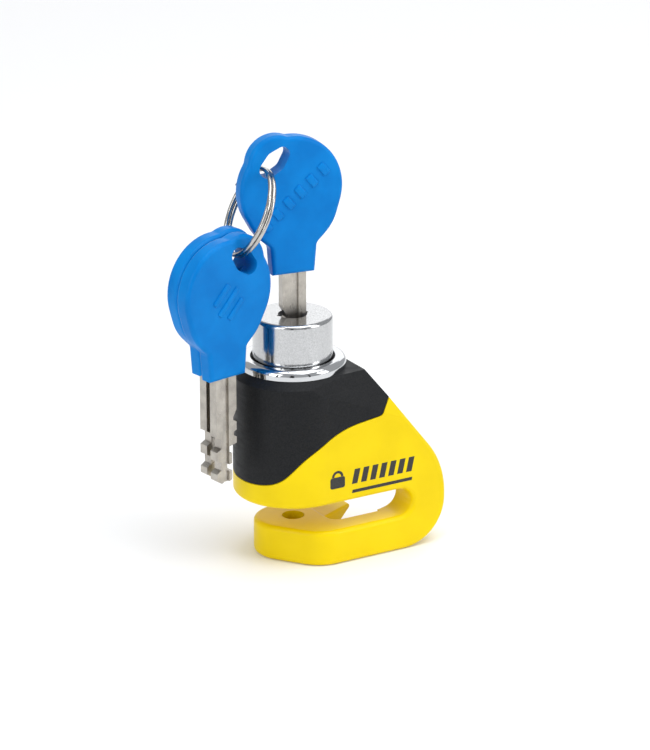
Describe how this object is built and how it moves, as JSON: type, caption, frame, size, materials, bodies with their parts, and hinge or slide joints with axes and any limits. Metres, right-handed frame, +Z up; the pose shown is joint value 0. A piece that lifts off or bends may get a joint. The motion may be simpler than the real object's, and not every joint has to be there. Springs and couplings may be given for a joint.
{
  "type": "disc brake lock",
  "caption": "Compact push-down lock for a motorcycle brake disc, with a slotted jaw, a keyed locking plunger and its keys on a split ring.",
  "frame": {"origin": "where the plunger's axis meets the flat underside of the lower jaw", "axes": "+Z up along the plunger's axis; +X from the barrel towards the closed end of the disc slot; the flat side faces -Y"},
  "size_m": [0.0745, 0.0314, 0.1139],
  "materials": {
    "body_paint": "high-gloss enamel over a smooth casting",
    "cover_coat": "matt black powder coat, fine grain",
    "collar_chrome": "polished chrome plate",
    "plunger_chrome": "satin chrome plate, bright at the top edge",
    "seal_rubber": "matt",
    "pin_steel": "ground hardened steel",
    "guard_steel": "dark hardened steel",
    "spring_steel": "drawn wire",
    "inner_brass": "turned brass",
    "key_nickel": "nickel silver, lightly brushed",
    "key_plastic": "satin moulded plastic",
    "ring_steel": "nickel-plated spring steel"
  },
  "bodies": {
    "lock_body": {"body_casting": "body_paint", "barrel_cover": "cover_coat", "collar_bezel": "collar_chrome", "wiper_seal": "seal_rubber", "travel_stop_pin": "pin_steel", "return_spring": "spring_steel"},
    "plunger": {"plunger_sleeve": "plunger_chrome", "pin_carrier": "inner_brass", "locking_pin": "pin_steel", "carrier_cross_pin": "pin_steel", "rotor_clip": "spring_steel", "latch_spring": "spring_steel"},
    "latch": {"latch_bolt": "pin_steel"},
    "rotor": {"rotor_tube": "inner_brass", "front_guard_disc": "guard_steel", "spacer_washers": "pin_steel", "sidebar": "pin_steel", "code_disc_1": "inner_brass", "code_disc_2": "inner_brass", "code_disc_3": "inner_brass", "code_disc_4": "inner_brass", "code_disc_5": "inner_brass", "code_disc_6": "inner_brass", "code_disc_7": "inner_brass"},
    "key_a": {"key_a_blade": "key_nickel", "key_a_head": "key_plastic"},
    "ring": {"split_ring": "ring_steel"},
    "key_b": {"key_b_blade": "key_nickel", "key_b_head": "key_plastic"},
    "key_c": {"key_c_blade": "key_nickel", "key_c_head": "key_plastic"}
  },
  "joints": [
    {"name": "plunger_slide", "type": "slide", "parent": "lock_body", "child": "plunger", "axis": [0, 0, -1], "range_m": [0, 0.0108], "stiffness_N_per_m": 400, "springref_m": -0.02, "deforming": ["return_spring"]},
    {"name": "key_turn", "type": "hinge", "parent": "plunger", "child": "rotor", "pos_m": [0, 0, 0.05], "axis": [0, 0, -1], "range_deg": [0, 90]},
    {"name": "latch_slide", "type": "slide", "parent": "plunger", "child": "latch", "axis": [1, 0, 0], "range_m": [-0.0008, 0]},
    {"name": "key_withdraw", "type": "slide", "parent": "rotor", "child": "key_a", "axis": [0, 0, 1], "range_m": [0, 0.018]},
    {"name": "ring_swing", "type": "hinge", "parent": "key_a", "child": "ring", "pos_m": [-0.00753, 0.00106, 0.105], "axis": [0.0905, 0.9793, -0.1808], "range_deg": [0, 25]},
    {"name": "key_b_swing", "type": "hinge", "parent": "ring", "child": "key_b", "pos_m": [-0.01808, -0.00431, 0.08547], "axis": [-0.1908, 0.9816, 0], "range_deg": [-2, 20]},
    {"name": "key_c_swing", "type": "hinge", "parent": "ring", "child": "key_c", "pos_m": [-0.0176, 0.00094, 0.0845], "axis": [-0.1908, 0.9816, 0], "range_deg": [-2, 20]}
  ],
  "couplings": [
    {"joint": "latch_slide", "follows": "key_turn", "m_per_rad": -0.000509}
  ]
}
